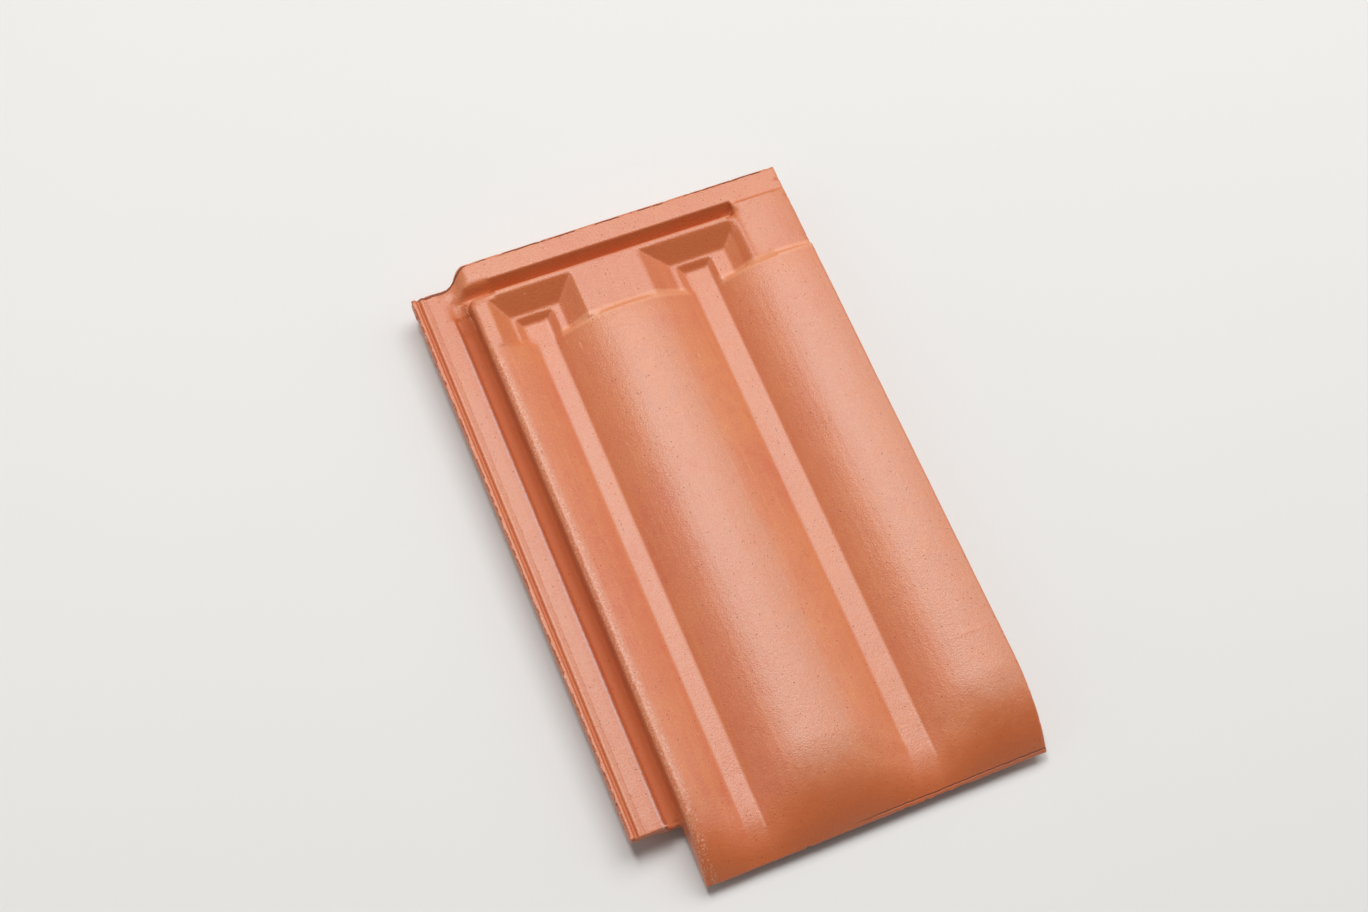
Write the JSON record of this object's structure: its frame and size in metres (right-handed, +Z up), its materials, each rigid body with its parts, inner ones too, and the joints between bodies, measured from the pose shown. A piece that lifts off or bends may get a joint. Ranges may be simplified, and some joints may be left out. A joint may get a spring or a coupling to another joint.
{
  "type": "clay roof tile",
  "caption": "Interlocking pressed clay roof tile with arched barrels, flat water strips, a grooved side lock, stepped head pockets and a rounded nose, lying weather face up.",
  "frame": {"origin": "middle of the tile's outline, on the level floor that its four lugs stand on", "axes": "+Y from the tail (nose) to the head along the barrels, +X from the side lock to the plain right border, +Z up out of the weather face"},
  "size_m": [0.258, 0.425, 0.038],
  "materials": {
    "fired_clay": "unglazed fired clay, matt with a soft pressed sheen on the barrels"
  },
  "bodies": {
    "root": {"roof_tile": "fired_clay"}
  },
  "joints": []
}
